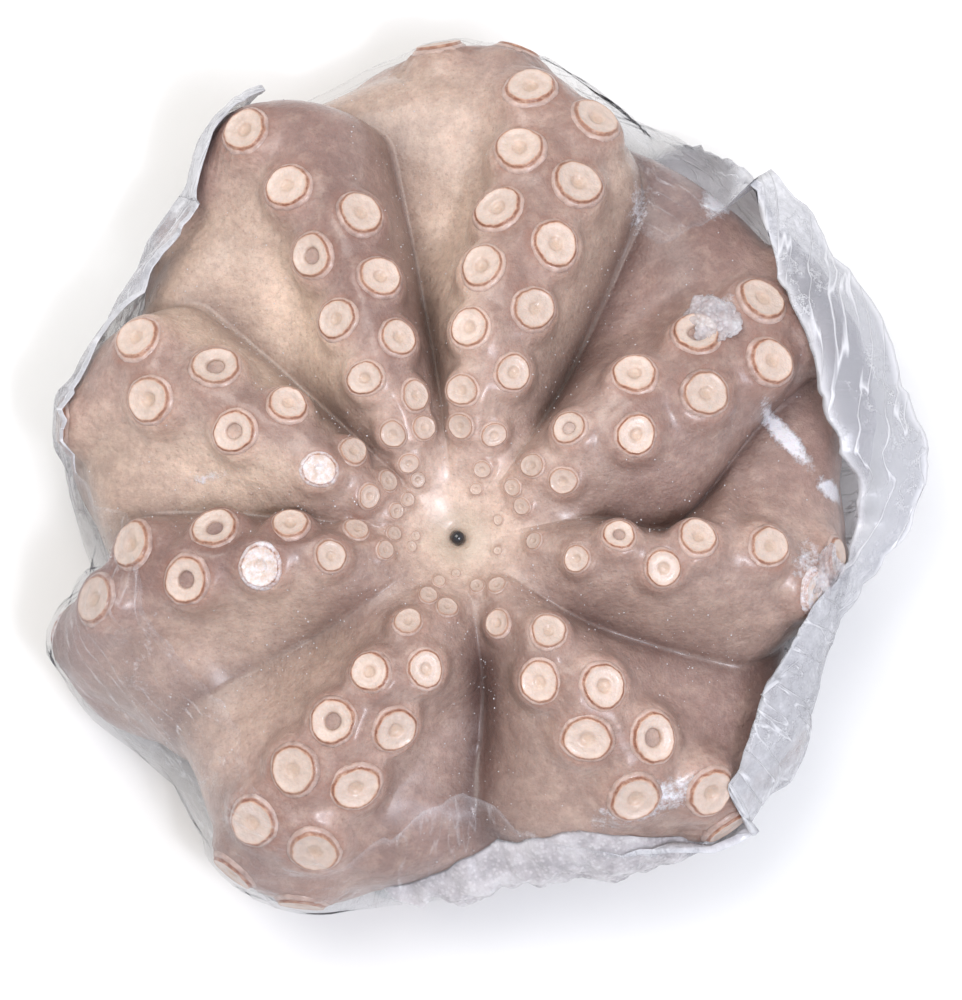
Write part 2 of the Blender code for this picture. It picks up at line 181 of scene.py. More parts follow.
def around(bearings, values, at):
    # value at a bearing, eased round the circle between the given ones
    bearings = np.concatenate(([bearings[-1] - 360], bearings, [bearings[0] + 360]))
    values = np.concatenate(([values[-1]], values, [values[0]]))
    at = np.mod(at - bearings[0], 360) + bearings[0]
    i = np.clip(np.searchsorted(bearings, at, side="right") - 1, 0, len(bearings) - 2)
    share = (at - bearings[i]) / (bearings[i + 1] - bearings[i])
    return values[i] + (values[i + 1] - values[i]) * ease(share)


for index, fold in enumerate(folds):
    fold["hook"] = (arms[index]["hook"] + arms[(index + 1) % 8]["hook"]) / 2
lobes = [line for pair in zip(arms, folds) for line in pair]
lobeBearings = np.array([bearing(line, rimPath) for line in lobes])
lobeReaches = np.array([line["reach"] for line in lobes])
foldShares = [[fold[key] for fold in folds] for key in ("depth", "soft", "dark")]
foldDepths, foldSofts, foldDarks = np.array(foldShares)


def ofFold(values, arm, side):
    # the value of the fold beside a point: the arm's own fold is on its anticlockwise side
    return np.where(side < 0, values[arm - 1], values[arm])


def bun(theta, path):
    # points of the bun without its arms, and their distance from its axis
    unitRadius, z = section(np.interp(path, paths, turns))
    outward = ease(path / rimPath)
    under = ease((path - rimPath) / (endPath - rimPath))
    reach = around(lobeBearings, lobeReaches, theta)
    reach = block["meanReach"] + (reach - block["meanReach"]) * outward * (1 - under)
    radius = unitRadius * reach
    angle = np.radians(theta)
    x = radius * np.cos(angle)
    y = block["mouthY"] * (1 - outward) + radius * np.sin(angle)
    z = z - block["mouthDip"] * bell(path / block["mouthSpread"])
    return np.stack((x, y, z), -1), radius


def bunNormal(theta, path):
    step = 0.0004
    across = bun(theta + 0.4, path)[0] - bun(theta - 0.4, path)[0]
    inner = np.clip(path - step, step, endPath - 3 * step)
    along = bun(theta, inner + 2 * step)[0] - bun(theta, inner)[0]
    normal = np.cross(along, across)
    length = np.linalg.norm(normal, axis=-1, keepdims=True)
    axis = np.where(path[..., None] < rimPath, 1.0, -1.0) * np.array((0.0, 0.0, 1.0))
    return np.where(length > 1e-12, normal / np.maximum(length, 1e-12), axis)


def sector(column, path):
    # a column counts arms from 0 to 8; the side is -1 at the clockwise fold, 0 at the crest, 1 at the other
    arm = np.floor(column).astype(int) % 8
    side = 2 * (column - np.floor(column)) - 1
    side = np.where(side < 0, -(np.abs(side) ** block["steepSide"]), side)
    crests = np.stack([bearing(line, path) for line in arms])
    creases = np.stack([bearing(line, path) for line in folds])
    here = np.arange(len(path))
    crest = crests[arm, here]
    after = creases[arm, here]
    before = creases[arm - 1, here] - np.where(arm == 0, 360, 0)
    theta = np.where(side < 0, crest + side * (crest - before), crest + side * (after - crest))
    halfWidth = np.where(side < 0, crest - before, after - crest)
    return arm, side, theta, halfWidth


def softness(arm, side, path):
    # share by which the fold beside a point is a soft valley; near the mouth they all are
    return np.maximum(ofFold(foldSofts, arm, side), 1 - ease((path - 0.025) / 0.035))


def arch(side, width, soft):
    # height across an arm: steep clockwise, a web on the other side
    q = np.abs(side)
    steep = (1 - q**2.4) ** 0.75
    steep += soft * (0.5 + 0.5 * np.cos(math.pi * q) - steep)
    rounded = np.cos(math.pi / 2 * np.clip(q * width / block["armHalfWidth"], 0, 1)) ** 2
    rounded *= (1 - q**2) ** (0.3 + 0.7 * soft)
    near, far = block["webLevel"]
    level = near * ease((width - 0.018) / 0.030) + far * ease((width - 0.040) / 0.020)
    web = level * (1 - q**1.6)
    wide = ease((width - 0.020) / 0.020)
    gentle = wide * (web + (1 - web) * rounded) + (1 - wide) * (1 - q**2.2) ** 0.85
    return np.where(side < 0, steep, gentle)


def crestHeight(path):
    rise = block["crestRise"] * ease((path - 0.012) / 0.045) + block["rimRise"] * ease((path - 0.10) / 0.05)
    return rise * (1 - 0.75 * ease((path - rimPath - 0.03) / 0.07))


def foldFloor(path):
    top = ease((path - 0.016) / 0.052) * (1 - 0.85 * ease((path - 0.090) / 0.055))
    below = 0.35 * ease((path - rimPath) / 0.03) * (1 - ease((path - endPath + 0.065) / 0.02))
    return block["foldDepth"] * (top + below)


# Relief that the solid leaves out, in metres
flesh = dict(
    columns=400,
    rings=220,
    ringsOnTop=0.55,  # share of an even spacing; less packs more rings near the mouth
    lump=0.0010,
    lumpSize=0.026,
    ripple=0.00030,
    rippleSize=0.008,
)


def fleshPoints(column, path):
    arm, side, theta, halfWidth = sector(column, path)
    points, radius = bun(theta, path)
    height = arch(side, radius * np.radians(halfWidth), softness(arm, side, path))
    floor = -foldFloor(path) * ofFold(foldDepths, arm, side)
    relief = floor + (crestHeight(path) - floor) * height
    relief -= block["headGroove"] * bell((radius - block["headRadius"]) / 0.006) * (path > rimPath)
    away = ease(path / 0.03) * ease((endPath - path) / 0.05)
    relief += away * flesh["lump"] * grain(points, 1 / flesh["lumpSize"])
    relief += away * flesh["ripple"] * grain(points, 1 / flesh["rippleSize"])
    points = points + bunNormal(theta, path) * relief[:, None]
    points[:, 2] = np.maximum(points[:, 2], block["floor"])
    return points


def grain(points, scale, offset=0.0):
    # smooth noise about 0 at points in space
    return np.array([noise.noise(Vector(p) * scale + Vector((offset, 0, 0))) for p in points])


def suckerRadius(row, path):
    grown = 1 - np.exp(-((path / suckerForm["growth"]) ** 1.3))
    return row["radius"] * grown * (1 - 0.65 * ease((path - 0.14) / 0.14))


def rowPaths(first, step, grow, end):
    found = [path for path in (first - 0.60 * step, first - 0.95 * step) if path > 0.006]
    count = 0
    path = first
    while path < end:
        found.append(path)
        count += 1
        path = first + step * count * (1 + grow * count)
    return found


def columnAt(index, offset, path):
    # the column at a distance from an arm's crest
    probe = np.array([index + 0.5 + math.copysign(0.25, offset)])
    _, _, theta, halfWidth = sector(probe, np.array([path]))
    _, distance = bun(theta, np.array([path]))
    side = float(offset / (distance[0] * math.radians(halfWidth[0])))
    side = max(-0.8, min(0.8, side))
    return index + 0.5 + 0.5 * (-(abs(side) ** (1 / block["steepSide"])) if side < 0 else side)


def placeOnSkin(column, path):
    # stands an upright shape on the skin, leaning half way from the arm's slope to the bun's
    step = 0.0015
    columns = np.array([column, column + 0.02, column - 0.02, column, column])
    alongPaths = np.array([path, path, path, path + step, path - step])
    here, left, right, out, back = (Vector(p) for p in fleshPoints(columns, alongPaths))
    slope = (out - back).cross(left - right).normalized()
    theta = sector(columns[:1], alongPaths[:1])[2]
    smooth = Vector(bunNormal(theta, alongPaths[:1])[0])
    upright = (slope + smooth).normalized()
    turn = Vector((0, 0, 1)).rotation_difference(upright)
    return here, upright, Matrix.LocRotScale(here, turn, None)


def suckerPlaces():
    # every sucker as a dictionary; one that would touch a larger one is left out
    found = []
    for index, row in enumerate(suckerRows):
        ends = (row.get("cwEnd", suckerForm["pathEnd"]), suckerForm["pathEnd"])
        for hand, line, end in ((-1, row["cw"], ends[0]), (1, row["ccw"], ends[1])):
            for path in rowPaths(*line, row["grow"], end):
                radius = float(suckerRadius(row, path))
                column = columnAt(index, hand * row["spread"] * radius + row["shift"], path)
                here, upright, stand = placeOnSkin(column, path)
                found.append(dict(arm=index, radius=radius, column=column, path=path, here=here,
                                  upright=upright, stand=stand))
    kept = []
    for place in sorted(found, key=lambda place: -place["radius"]):
        clear = True
        for other in kept:
            reach = suckerForm["gap"] * (place["radius"] + other["radius"])
            clear = clear and (place["here"] - other["here"]).length - reach > 0
        if clear and place["radius"] > suckerForm["smallest"]:
            kept.append(place)
    for index, row in enumerate(suckerRows):
        mine = sorted((place for place in kept if place["arm"] == index), key=lambda place: place["path"])
        for count, place in enumerate(mine):
            place["open"] = 1.0 if count in row["open"] else 0.0
            place["frosted"] = 1.0 if count in row["frosted"] else 0.0
            place["iced"] = count in row["iced"]
    return kept


suckers = suckerPlaces()
print("form ready,", len(suckers), "suckers")


def raiseMounds(points, columns, height, flat, reach):
    # lifts a surface to a level spot over each sucker; height, flat and reach are shares of its radius
    total = np.zeros_like(points)
    weights = np.zeros(len(points))
    for place in suckers:
        away = points - np.array(place["here"])
        near = np.einsum("ij,ij->i", away, away) < (reach * place["radius"] * 1.6) ** 2
        near &= np.abs(np.mod(columns - place["column"] + 4, 8) - 4) < 0.55
        chosen = np.nonzero(near)[0]
        axis = np.array(place["upright"])
        up = away[chosen] @ axis
        ring = np.linalg.norm(away[chosen] - up[:, None] * axis, axis=1) / place["radius"]
        weight = 1 - ease((ring - flat) / (reach - flat))
        total[chosen] += axis * (weight * (height * place["radius"] - up))[:, None]
        weights[chosen] += weight
    return points + total / np.maximum(weights, 1)[:, None]


def ringDistance(points):
    # distance to the nearest sucker's axis, in its own radii
    nearest = np.full(len(points), 9.0)
    for place in suckers:
        away = points - np.array(place["here"])
        chosen = np.nonzero(np.einsum("ij,ij->i", away, away) < (3 * place["radius"]) ** 2)[0]
        ring = np.linalg.norm(away[chosen], axis=1) / place["radius"]
        nearest[chosen] = np.minimum(nearest[chosen], ring)
    return nearest


def sphereGrid(columns, rings):
    # a sphere with each vertex's column, in arms, and its share of the way down from the mouth
    bm = bmesh.new()
    bmesh.ops.create_uvsphere(bm, u_segments=columns, v_segments=rings, radius=1.0)
    at = np.array([v.co for v in bm.verts])
    share = np.arccos(np.clip(at[:, 2], -1, 1)) / math.pi
    column = np.mod(np.degrees(np.arctan2(at[:, 1], at[:, 0])), 360) / 360 * 8
    return bm, np.mod(np.round(column * columns) / columns, 8), share


def moveTo(bm, points):
    for vertex, point in zip(bm.verts, points):
        vertex.co = point


def addPiece(name, bm, finish, replaced=None, layers=None):
    # makes a piece at the origin that rides on the block; layers are values on its vertices
    mesh = bpy.data.meshes.new(name)
    bm.to_mesh(mesh)
    bm.free()
    mesh.shade_smooth()
    mesh.materials.append(finish)
    for key, values in (layers or {}).items():
        values = np.asarray(values, dtype=np.float32)
        kind, field = ("FLOAT", "value") if values.ndim == 1 else ("FLOAT_COLOR", "color")
        mesh.attributes.new(key, kind, "POINT").data.foreach_set(field, values.ravel())
    piece = bpy.data.objects.new(name, mesh)
    bpy.context.scene.collection.objects.link(piece)
    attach(piece, "root")
    if replaced:
        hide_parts(replaced)
    return piece


def tint(red, green, blue):
    # a screen colour of 0 to 255 as a linear one
    share = [c / 255 for c in (red, green, blue)]
    return (*(c / 12.92 if c < 0.04045 else ((c + 0.055) / 1.055) ** 2.4 for c in share), 1.0)


def startMaterial(name, **values):
    made = bpy.data.materials.new(name)
    made.use_nodes = True
    shader = made.node_tree.nodes["Principled BSDF"]
    for key, value in values.items():
        shader.inputs[key.replace("_", " ")].default_value = value
    return made, made.node_tree, shader


def addNode(tree, kind, values=None, **settings):
    node = tree.nodes.new("ShaderNode" + kind)
    for key, value in settings.items():
        setattr(node, key, value)
    for key, value in (values or {}).items():
        if isinstance(value, bpy.types.NodeSocket):
            tree.links.new(value, node.inputs[key])
        else:
            node.inputs[key].default_value = value
    return node


def layer(tree, name, output="Fac"):
    return addNode(tree, "Attribute", attribute_name=name).outputs[output]


def cloud(tree, scale, detail=3.0, rough=0.5, at=None):
    place = at or addNode(tree, "TexCoord").outputs["Object"]
    sockets = {"Vector": place, "Scale": scale, "Detail": detail, "Roughness": rough}
    return addNode(tree, "TexNoise", sockets).outputs["Fac"]


def remap(tree, value, low, high, toLow=0.0, toHigh=1.0, smooth=False):
    kind = "SMOOTHSTEP" if smooth else "LINEAR"
    sockets = {"Value": value, "From Min": low, "From Max": high, "To Min": toLow, "To Max": toHigh}
    return addNode(tree, "MapRange", sockets, interpolation_type=kind, clamp=True).outputs["Result"]


def calc(tree, operation, first, second=0.0):
    return addNode(tree, "Math", {0: first, 1: second}, operation=operation, use_clamp=False).outputs[0]


def plus(tree, first, second):
    return calc(tree, "ADD", first, second)


def times(tree, first, second):
    return calc(tree, "MULTIPLY", first, second)


def blendColours(tree, share, first, second):
    # inputs 6 and 7 are the two colours, output 2 their mix
    node = addNode(tree, "Mix", data_type="RGBA", blend_type="MIX")
    for key, value in ((0, share), (6, first), (7, second)):
        if isinstance(value, bpy.types.NodeSocket):
            tree.links.new(value, node.inputs[key])
        else:
            node.inputs[key].default_value = value
    return node.outputs[2]


def dim(tree, colour, scale):
    node = addNode(tree, "VectorMath", operation="SCALE")
    tree.links.new(colour, node.inputs[0])
    tree.links.new(scale, node.inputs["Scale"])
    return node.outputs[0]


def ramp(tree, value, stops):
    # stops are places and screen colours
    node = addNode(tree, "ValToRGB", {"Fac": value})
    elements = node.color_ramp.elements
    while len(elements) < len(stops):
        elements.new(0.5)
    for element, (place, colour) in zip(elements, stops):
        element.position = place
        element.color = tint(*colour)
    return node.outputs["Color"]


def bump(tree, height, distance, strength=1.0, under=None):
    node = addNode(tree, "Bump", {"Height": height, "Distance": distance, "Strength": strength})
    if under:
        tree.links.new(under, node.inputs["Normal"])
    return node.outputs["Normal"]


# Skin
skinLook = dict(
    collar=tint(206, 180, 170),
    cream=tint(224, 199, 180),
    rose=tint(176, 145, 141),
    brown=tint(112, 84, 78),
    stain=tint(156, 102, 80),
    # deep is the colour of the painted shade and dark brown in the folds
    deep=tint(86, 62, 58),
    frost=tint(226, 225, 232),
    # painted shade round the mouth pit
    mouthPitShadeTone=tint(176, 160, 142),
)

# Frost on the skin: where in plan, half length and half width, turn in degrees, strength
frostPatches = (
    (0.084, 0.092, 0.010, 0.007, 60, 0.9),
    (0.058, 0.088, 0.016, 0.006, 80, 0.6),
    (0.104, 0.012, 0.016, 0.004, -50, 1.0),
    (0.119, -0.004, 0.007, 0.004, -20, 1.0),
    (-0.080, -0.003, 0.014, 0.003, 5, 0.6),
    (-0.097, -0.049, 0.010, 0.009, 20, 0.45),
    (0.085, 0.052, 0.008, 0.006, 0, 0.6),
    (0.110, -0.030, 0.014, 0.010, 80, 0.6),
    (0.060, -0.105, 0.030, 0.008, 20, 0.7),
)


def patchShare(points, patches):
    share = np.zeros(len(points))
    for x, y, length, width, turn, strength in patches:
        c, s = math.cos(math.radians(turn)), math.sin(math.radians(turn))
        along = ((points[:, 0] - x) * c + (points[:, 1] - y) * s) / length
        across = (-(points[:, 0] - x) * s + (points[:, 1] - y) * c) / width
        share = np.maximum(share, strength * bell(np.hypot(along, across)))
    return share * (points[:, 2] > 0.030)


def makeSkinMaterial():
    made, tree, shader = startMaterial(
        "skin", IOR=1.42, Coat_Weight=0.60, Coat_Roughness=0.22,
        Subsurface_Weight=0.22, Subsurface_Scale=0.0035, Subsurface_Radius=(1.0, 0.45, 0.3),
    )
    tone = layer(tree, "tone", "Color")
    patchy = cloud(tree, 38.0, 4.0, 0.6)
    fine = cloud(tree, 170.0, 5.0, 0.65)
    dots = cloud(tree, 950.0, 2.0, 0.5)
    grains = cloud(tree, 520.0, 5.0, 0.7)
    tone = dim(tree, tone, remap(tree, patchy, 0.3, 0.7, 0.89, 1.12))
    tone = dim(tree, tone, remap(tree, grains, 0.3, 0.7, 0.86, 1.14))
    tone = blendColours(tree, remap(tree, fine, 0.45, 0.75, 0.0, 0.30), tone, skinLook["brown"])
    tone = blendColours(tree, remap(tree, fine, 0.50, 0.25, 0.0, 0.22), tone, skinLook["cream"])
    tone = blendColours(tree, remap(tree, dots, 0.60, 0.72, 0.0, 0.28), tone, skinLook["brown"])
    streaks = cloud(tree, 5.0, 4.0, 0.6, at=layer(tree, "flow", "Vector"))
    tone = dim(tree, tone, remap(tree, streaks, 0.3, 0.7, 0.94, 1.06))
    stain = times(tree, layer(tree, "stain"), remap(tree, fine, 0.3, 0.7, 0.35, 1.0))
    tone = blendColours(tree, stain, tone, skinLook["stain"])
    # painted shade and dark brown along the folds
    tone = blendColours(tree, layer(tree, "foldShadeAndBrown"), tone, skinLook["deep"])
    # painted shade round the mouth pit
    tone = blendColours(tree, layer(tree, "mouthPitShade"), tone, skinLook["mouthPitShadeTone"])
    icy = cloud(tree, 420.0, 6.0, 0.8)
    frost = remap(tree, plus(tree, layer(tree, "frost"), icy), 0.98, 1.22, 0.0, 0.9)
    tone = blendColours(tree, frost, tone, skinLook["frost"])
    tree.links.new(tone, shader.inputs["Base Color"])
    rough = plus(tree, remap(tree, patchy, 0.3, 0.7, 0.26, 0.44), times(tree, frost, 0.25))
    tree.links.new(rough, shader.inputs["Roughness"])
    relief = bump(tree, cloud(tree, 120.0, 4.0, 0.6), 0.0014, 0.9)
    relief = bump(tree, cloud(tree, 800.0, 4.0, 0.7), 0.00040, 0.9, relief)
    relief = bump(tree, frost, 0.0005, 0.6, relief)
    tree.links.new(relief, shader.inputs["Normal"])
    return made


def fleshLayers(points, column, path):
    arm, side, theta, halfWidth = sector(column, path)
    radius = bun(theta, path)[1]
    keys = ("pale", "brown", "flank", "inner", "webPale", "webBrown")
    shares = np.array([[line[key] for line in arms] for key in keys])
    crestPale, crestBrown, flank, inner, webPale, webBrown = shares
    # brown lies along the crest; the web's colour runs on over the fold, into the next arm's foot
    web = ease((side - 0.12) / 0.40)
    foot = ease((-side - 0.70) / 0.3)
    crest = crestPale[arm]
    pale = crest + (webPale[arm] - crest) * web + (webPale[arm - 1] - crest) * foot * 0.6
    # a flank with little brown is pale
    pale += (0.95 - pale) * ease((-side - 0.30) / 0.40) * np.clip(1 - 2.2 * flank[arm], 0, 1)
    brown = np.where(side < 0, flank[arm], webBrown[arm] * web)
    brown = brown + (crestBrown[arm] - brown) * bell((side + 0.04) / np.where(side < 0, 0.42, 0.34))
    # webs are palest near the mouth, and darker towards the rim
    outer = ease((path - 0.080) / 0.040)
    brown = brown + (0.34 * outer - 0.15 * bell((path - 0.055) / 0.022)) * web
    brown = np.clip(brown, 0, 1)
    centre = 1 - ease((path - 0.008) / 0.022)
    nearBrown = inner[arm] + (inner[(arm + 1) % 8] - inner[arm]) * 0.5 * ease(side)
    nearBrown += (inner[arm - 1] - nearBrown) * 0.5 * ease(-side)
    near = 1 - ease((path - 0.030) / 0.040)
    pale = pale + (0.50 - pale) * near
    brown = brown + (nearBrown - brown) * near
    pale = pale + (0.75 - pale) * centre
    brown = brown * (1 - 0.8 * centre)
    under = ease((path - rimPath) / 0.05)
    pale = pale + (0.35 - pale) * under
    cream, rose, dark = (np.array(skinLook[key]) for key in ("cream", "rose", "brown"))
    tone = rose + (cream - rose) * pale[:, None]
    tone = tone + (dark - tone) * brown[:, None]
    toFold = (1 - np.abs(side)) * radius * np.radians(halfWidth)
    # Painted shade along each fold, mixed with a darker brown: strongest at the fold line and fading up its
    # flanks
    deep = ease((path - 0.018) / 0.035) * (1 - 0.6 * ease((path - 0.118) / 0.035))
    deep *= ofFold(foldDarks, arm, side)
    foldShadeAndBrown = deep * (0.30 * bell(toFold / 0.0045) + 0.40 * bell(toFold / np.where(side < 0, 0.015, 0.010)))
    ring = ringDistance(points)
    stain = 0.42 * bell((ring - 1.08) / 0.14) + 0.14 * bell((ring - 1.30) / 0.4)
    # painted shade in a ring round the mouth pit
    mouthPitShade = 0.55 * bell((path - 0.005) / 0.005)
    angle = np.radians(theta)
    flow = np.stack((np.cos(angle) * 4.0, np.sin(angle) * 4.0, path * 12.0, np.ones(len(path))), -1)
    return dict(tone=tone, flow=flow, foldShadeAndBrown=np.clip(foldShadeAndBrown, 0, 0.85), stain=np.clip(stain, 0, 0.8),
                mouthPitShade=mouthPitShade, frost=patchShare(points, frostPatches))


# The mound under a sucker, in shares of its radius, and the pit that the beak stands in, in metres
mound = dict(height=0.22, flat=1.10, reach=1.85)
pit = dict(depth=0.0035, spread=0.0026)


def makeFlesh():
    bm, column, share = sphereGrid(flesh["columns"], flesh["rings"])
    even = flesh["ringsOnTop"]
    path = endPath * (even * share + (1 - even) * share**3)
    points = fleshPoints(column, path)
    points = raiseMounds(points, column, mound["height"], mound["flat"], mound["reach"])
    fromMouth = np.linalg.norm(points[:, :2] - np.array(mouth)[:2], axis=1)
    points[:, 2] -= pit["depth"] * bell(fromMouth / pit["spread"]) * (path < 0.02)
    points[:, 2] = np.maximum(points[:, 2], block["floor"])
    moveTo(bm, points)
    layers = fleshLayers(points, column, path)
    addPiece("flesh", bm, makeSkinMaterial(), "octopus", layers)


makeFlesh()
print("flesh made")

# Suckers: a cup's profile as ring and height, both in sucker radii, closed and open. The disc ends in a rim
# at ring 0.9, and a soft collar runs out into the mound. hollow is the most that a closed one opens.
cup = dict(
    segments=40,
    rings=(0.0, 0.08, 0.16, 0.24, 0.30, 0.36, 0.42, 0.50, 0.60, 0.70, 0.78,
           0.84, 0.88, 0.905, 0.925, 0.945, 0.97, 1.0, 1.04, 1.08, 1.13, 1.10),
    closed=(0.13, 0.13, 0.135, 0.155, 0.19, 0.20, 0.20, 0.19, 0.185, 0.195, 0.215,
            0.24, 0.25, 0.235, 0.19, 0.14, 0.13, 0.12, 0.09, 0.05, -0.03, -0.50),
    opened=(-0.40, -0.40, -0.36, -0.28, -0.14, 0.04, 0.13, 0.165, 0.175, 0.19, 0.215,
            0.24, 0.25, 0.235, 0.19, 0.14, 0.13, 0.12, 0.09, 0.05, -0.03, -0.50),
    oval=0.07,
    wave=0.035,
    waves=((3, 0.6), (7, 0.25), (13, 0.2)),  # waves round the rim, and the share of each
    hollow=0.22,
    tilt=0.05,
    lift=(0.88, 1.08),
    shade=(0.93, 1.04),
    frosted=0.55,
    dusted=0.22,
    below=0.0002,  # at least this far under the top of the solids' box
)


def makeSuckerMaterial():
    made, tree, shader = startMaterial(
        "sucker", IOR=1.42, Coat_Weight=0.35, Coat_Roughness=0.15,
        Subsurface_Weight=0.20, Subsurface_Scale=0.002, Subsurface_Radius=(1.0, 0.55, 0.35),
    )
    fine = cloud(tree, 330.0, 4.0, 0.65)
    ring = plus(tree, layer(tree, "ring"), remap(tree, cloud(tree, 300.0, 4.0), 0.2, 0.8, -0.05, 0.05))
    place = times(tree, ring, 0.85)
    disc = ramp(tree, place, (
        (0.00, (198, 170, 150)),
        (0.19, (202, 177, 161)),
        (0.24, (194, 166, 149)),
        (0.30, (204, 182, 170)),
        (0.62, (211, 193, 183)),
        (0.72, (204, 180, 165)),
        (0.755, (172, 122, 98)),
        (0.785, (122, 72, 52)),
        (0.82, (150, 98, 76)),
    ))
    plain = ramp(tree, place, (
        (0.00, (196, 170, 152)),
        (0.30, (200, 179, 166)),
        (0.70, (202, 181, 169)),
        (0.77, (184, 148, 128)),
        (0.82, (166, 128, 110)),
    ))
    broken = remap(tree, cloud(tree, 430.0, 4.0, 0.7), 0.40, 0.56, 0.15, 1.0)
    tone = blendColours(tree, times(tree, layer(tree, "line"), broken), plain, disc)
    # the smallest are nearly the skin's colour, and the collar is a paler skin
    skin = layer(tree, "skin", "Color")
    small = remap(tree, layer(tree, "pale"), 0.0, 1.0, 0.65, 0.0)
    tone = blendColours(tree, times(tree, small, remap(tree, place, 0.70, 0.80, 1.0, 0.6)), tone, skin)
    paler = remap(tree, cloud(tree, 260.0, 4.0, 0.6), 0.35, 0.65, 0.1, 0.8)
    skin = blendColours(tree, paler, skin, skinLook["collar"])
    tone = blendColours(tree, remap(tree, place, 0.805, 0.87, 0.0, 1.0, True), tone, skin)
    hole = times(tree, layer(tree, "open"), remap(tree, ring, 0.42, 0.26))
    tone = blendColours(tree, hole, tone, tint(138, 92, 60))
    tone = dim(tree, tone, remap(tree, fine, 0.3, 0.7, 0.90, 1.08))
    tone = dim(tree, tone, layer(tree, "shade"))
    icy = plus(tree, layer(tree, "frost"), cloud(tree, 380.0, 5.0, 0.75))
    frost = remap(tree, icy, 0.95, 1.2, 0.0, 0.85)
    tone = blendColours(tree, frost, tone, skinLook["frost"])
    tree.links.new(tone, shader.inputs["Base Color"])
    tree.links.new(remap(tree, fine, 0.3, 0.7, 0.28, 0.46), shader.inputs["Roughness"])
    relief = bump(tree, cloud(tree, 240.0, 5.0, 0.65), 0.0011, 0.8)
    relief = bump(tree, cloud(tree, 1100.0, 2.0, 0.6), 0.00015, 0.6, relief)
    tree.links.new(relief, shader.inputs["Normal"])
    return made


def makeCup():
    # one unit cup, spun from its profile; each vertex keeps its ring number
    bm = bmesh.new()
    number = bm.verts.layers.int.new("number")
    profile = []
    for count, (ring, height) in enumerate(zip(cup["rings"], cup["closed"])):
        vertex = bm.verts.new((ring, 0, height))
        vertex[number] = count
        profile.append(vertex)
    edges = [bm.edges.new(pair) for pair in zip(profile, profile[1:])]
    bmesh.ops.spin(bm, geom=profile + edges, cent=(0, 0, 0), axis=(0, 0, 1), angle=2 * math.pi,
                   steps=cup["segments"], use_merge=True)
    bmesh.ops.remove_doubles(bm, verts=bm.verts, dist=1e-5)
    rim = [edge for edge in bm.edges if edge.is_boundary]
    bmesh.ops.holes_fill(bm, edges=rim, sides=0)
    bmesh.ops.recalc_face_normals(bm, faces=bm.faces)
    mesh = bpy.data.meshes.new("cup")
    bm.to_mesh(mesh)
    bm.free()
    return mesh


def makeSuckers():
    finish = makeSuckerMaterial()
    unit = makeCup()
    numbers = np.array([item.value for item in unit.attributes["number"].data])
    at = np.array([vertex.co for vertex in unit.vertices])
    angle = np.arctan2(at[:, 1], at[:, 0])
    rings = np.array(cup["rings"])[numbers]
    columns, paths = (np.array([place[key] for place in suckers]) for key in ("column", "path"))
    tones = fleshLayers(fleshPoints(columns, paths), columns, paths)["tone"]
    for place, tone in zip(suckers, tones):
        place["tone"] = tone
    for index in range(len(arms)):
        bm = bmesh.new()
        points = []
        layers = {}
        for place in (place for place in suckers if place["arm"] == index):
            bm.from_mesh(unit)
            phase = dice.uniform(0, 2 * math.pi, 4)
            opened = place["open"] if place["open"] else float(dice.uniform(0, cup["hollow"]))
            height = np.array(cup["closed"]) * (1 - opened) + np.array(cup["opened"]) * opened
            wave = sum(np.sin(n * angle + start) * share for (n, share), start in zip(cup["waves"], phase))
            size = 1 + cup["wave"] * wave * ease(rings / 0.5)
            size += cup["oval"] * np.cos(2 * angle + phase[3]) * dice.uniform(0.2, 1)
            tilt = dice.uniform(-cup["tilt"], cup["tilt"], 2)
            lift = height[numbers] * dice.uniform(*cup["lift"]) + at[:, 0] * tilt[0] + at[:, 1] * tilt[1]
            local = np.stack((at[:, 0] * size, at[:, 1] * size, lift + mound["height"]), -1) * place["radius"]
            turned = np.array(place["stand"].to_3x3())
            points.append(local @ turned.T + np.array(place["here"]))
            values = dict(
                ring=rings,
                open=1.0 if place["open"] else 0.0,
                line=float(ease((place["path"] - 0.028) / 0.03)) * dice.uniform(0.5, 1.0),
                pale=float(ease(place["path"] / 0.055)),
                skin=place["tone"],
                shade=dice.uniform(*cup["shade"]) * (0.88 + 0.12 * float(ease(place["path"] / 0.05))),
                frost=cup["frosted"] if place["frosted"] else dice.uniform(0.0, cup["dusted"]),
            )
            for key, value in values.items():
                shape = (len(at), 4) if key == "skin" else len(at)
                layers.setdefault(key, []).append(np.broadcast_to(value, shape))
        points = np.concatenate(points)
        points[:, 2] = np.minimum(points[:, 2], cadBox[1][2] - cup["below"])
        moveTo(bm, points)
        made = {key: np.concatenate(values) for key, values in layers.items()}
        addPiece("suckers_%d" % (index + 1), bm, finish, "octopus", made)


makeSuckers()
print("suckers made")


def makeBeak():
    made, tree, shader = startMaterial("beak", Roughness=0.12, IOR=1.5, Coat_Weight=0.5)
    shade = ramp(tree, cloud(tree, 500.0), ((0.3, (14, 14, 17)), (0.7, (40, 40, 48))))
    tree.links.new(shade, shader.inputs["Base Color"])
    low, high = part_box("beak")
    bm = bmesh.new()
    bmesh.ops.create_uvsphere(bm, u_segments=32, v_segments=20, radius=(high[0] - low[0]) / 2)
    bmesh.ops.scale(bm, verts=bm.verts, vec=(1.0, 1.0, 0.9))
    bmesh.ops.translate(bm, verts=bm.verts, vec=mouth)
    addPiece("beak_tip", bm, made, "beak")


makeBeak()
print("beak made")

